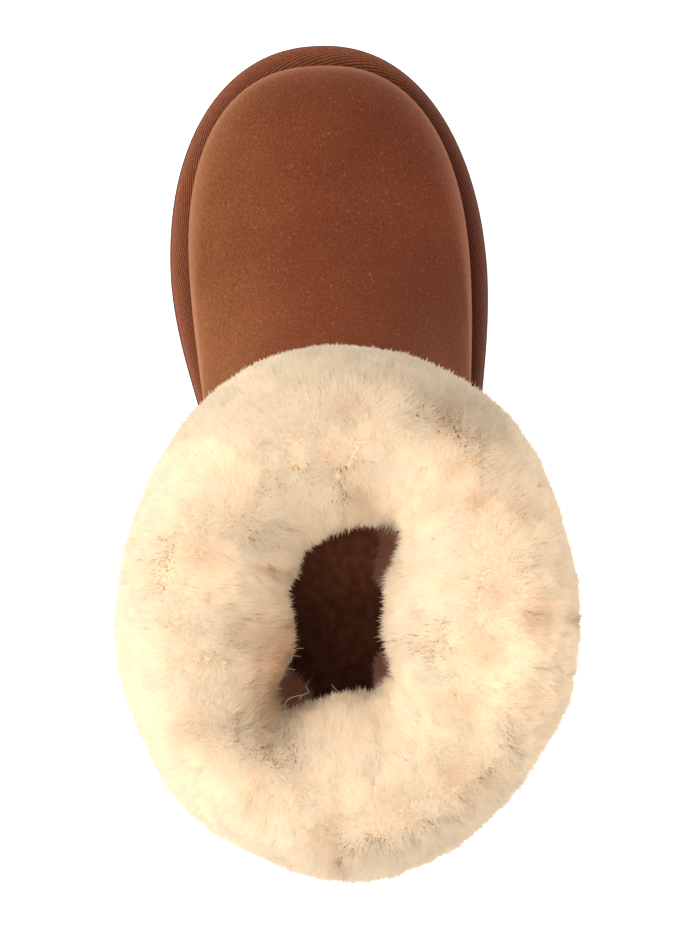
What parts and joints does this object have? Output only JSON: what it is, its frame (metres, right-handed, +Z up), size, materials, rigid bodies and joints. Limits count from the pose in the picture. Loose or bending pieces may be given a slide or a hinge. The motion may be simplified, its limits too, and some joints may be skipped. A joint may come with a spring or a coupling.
{
  "type": "sheepskin boot",
  "caption": "Short pull-on sheepskin boot for the right foot: suede upper, taped edge, thick foam sole and a deep rolled fleece cuff round the ankle.",
  "frame": {"origin": "on the floor under the middle of the sole's length, on the centre line of the heel", "axes": "+X from heel to toe, +Y to the inner (big toe) side of the foot, +Z up out of the collar"},
  "size_m": [0.2582, 0.1374, 0.1721],
  "materials": {
    "sole_foam": "moulded foam rubber, matt",
    "inner_fleece": "short dark brown fleece",
    "suede": "brushed suede with a fine nap",
    "twill_tape": "diagonally ribbed woven tape",
    "cuff_fleece": "long cream sheepskin fleece"
  },
  "bodies": {
    "root": {"outsole": "sole_foam", "insole": "inner_fleece", "upper": "suede", "binding_tape": "twill_tape", "heel_counter": "suede", "fleece_cuff": "cuff_fleece"}
  },
  "joints": []
}
